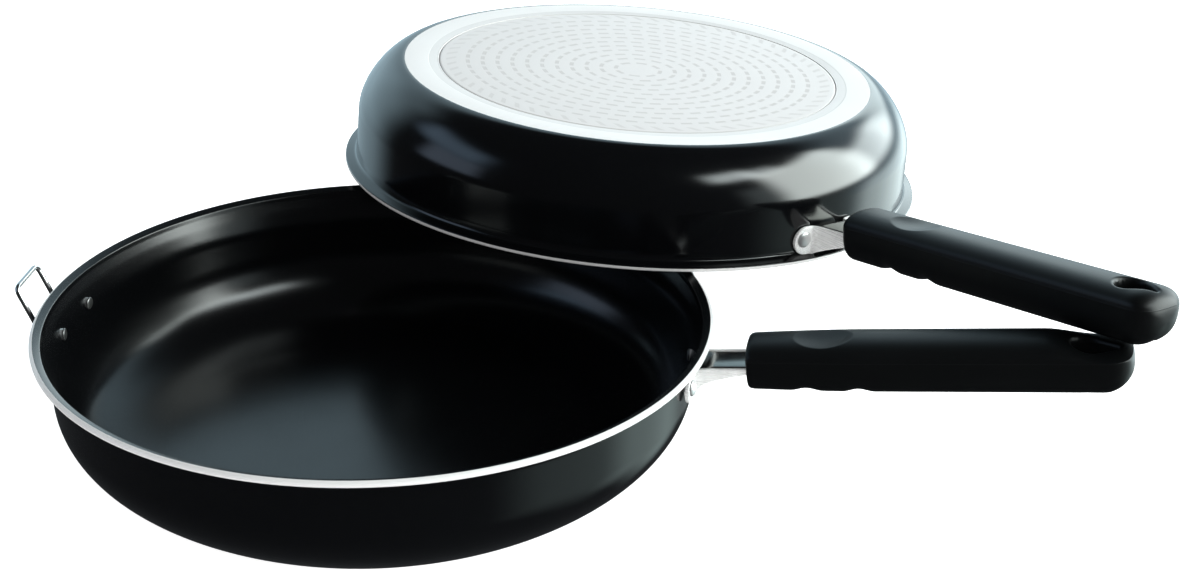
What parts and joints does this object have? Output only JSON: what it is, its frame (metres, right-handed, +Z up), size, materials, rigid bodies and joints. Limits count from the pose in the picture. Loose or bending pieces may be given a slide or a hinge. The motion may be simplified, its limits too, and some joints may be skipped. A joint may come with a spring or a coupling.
{
  "type": "double sided flip pan",
  "caption": "Double sided frying pan: two shallow non-stick pans with long black grips. A wire bail on one catches a hook on the other, so they close together and turn over as one.",
  "frame": {"origin": "centre of the lower pan's base, on the surface it stands on", "axes": "+Z up, +X along the lower handle, the wire bail on -X, the upper pan towards +Y"},
  "size_m": [0.4374, 0.4219, 0.1057],
  "materials": {
    "coated_aluminium": "black non-stick coating, semi-gloss, with bare machined metal at the rim edge and the base ring",
    "induction_steel": "perforated steel disc, satin",
    "polished_steel": "polished stainless steel",
    "rivet_metal": "polished domed rivets",
    "steel_wire": "bright drawn wire",
    "zinc_steel": "zinc plated",
    "bakelite": "moulded black phenolic, satin"
  },
  "bodies": {
    "lower_pan": {"lower_pan_shell": "coated_aluminium", "lower_induction_disc": "induction_steel", "lower_handle_bracket": "polished_steel", "lower_bracket_rivet_left": "rivet_metal", "lower_bracket_rivet_right": "rivet_metal", "lower_handle_grip": "bakelite", "lower_handle_screw": "zinc_steel", "lower_screw_washer": "zinc_steel", "lower_screw_nut": "zinc_steel", "hinge_bracket": "polished_steel", "hinge_rivet_left": "rivet_metal", "hinge_rivet_right": "rivet_metal"},
    "wire_bail": {"wire_bail": "steel_wire"},
    "upper_pan": {"upper_pan_shell": "coated_aluminium", "upper_induction_disc": "induction_steel", "upper_handle_bracket": "polished_steel", "upper_bracket_rivet_left": "rivet_metal", "upper_bracket_rivet_right": "rivet_metal", "upper_handle_grip": "bakelite", "upper_handle_screw": "zinc_steel", "upper_screw_washer": "zinc_steel", "upper_screw_nut": "zinc_steel", "hook_bracket": "polished_steel", "hook_rivet_left": "rivet_metal", "hook_rivet_right": "rivet_metal"}
  },
  "joints": [
    {"name": "bail_swing", "type": "hinge", "parent": "lower_pan", "child": "wire_bail", "pos_m": [-0.1306, 0, 0.045], "axis": [0, 1, 0], "range_deg": [-155, 24]},
    {"name": "upper_lift", "type": "slide", "parent": "lower_pan", "child": "upper_pan", "axis": [0, 0, 1], "range_m": [0, 0.12]}
  ]
}
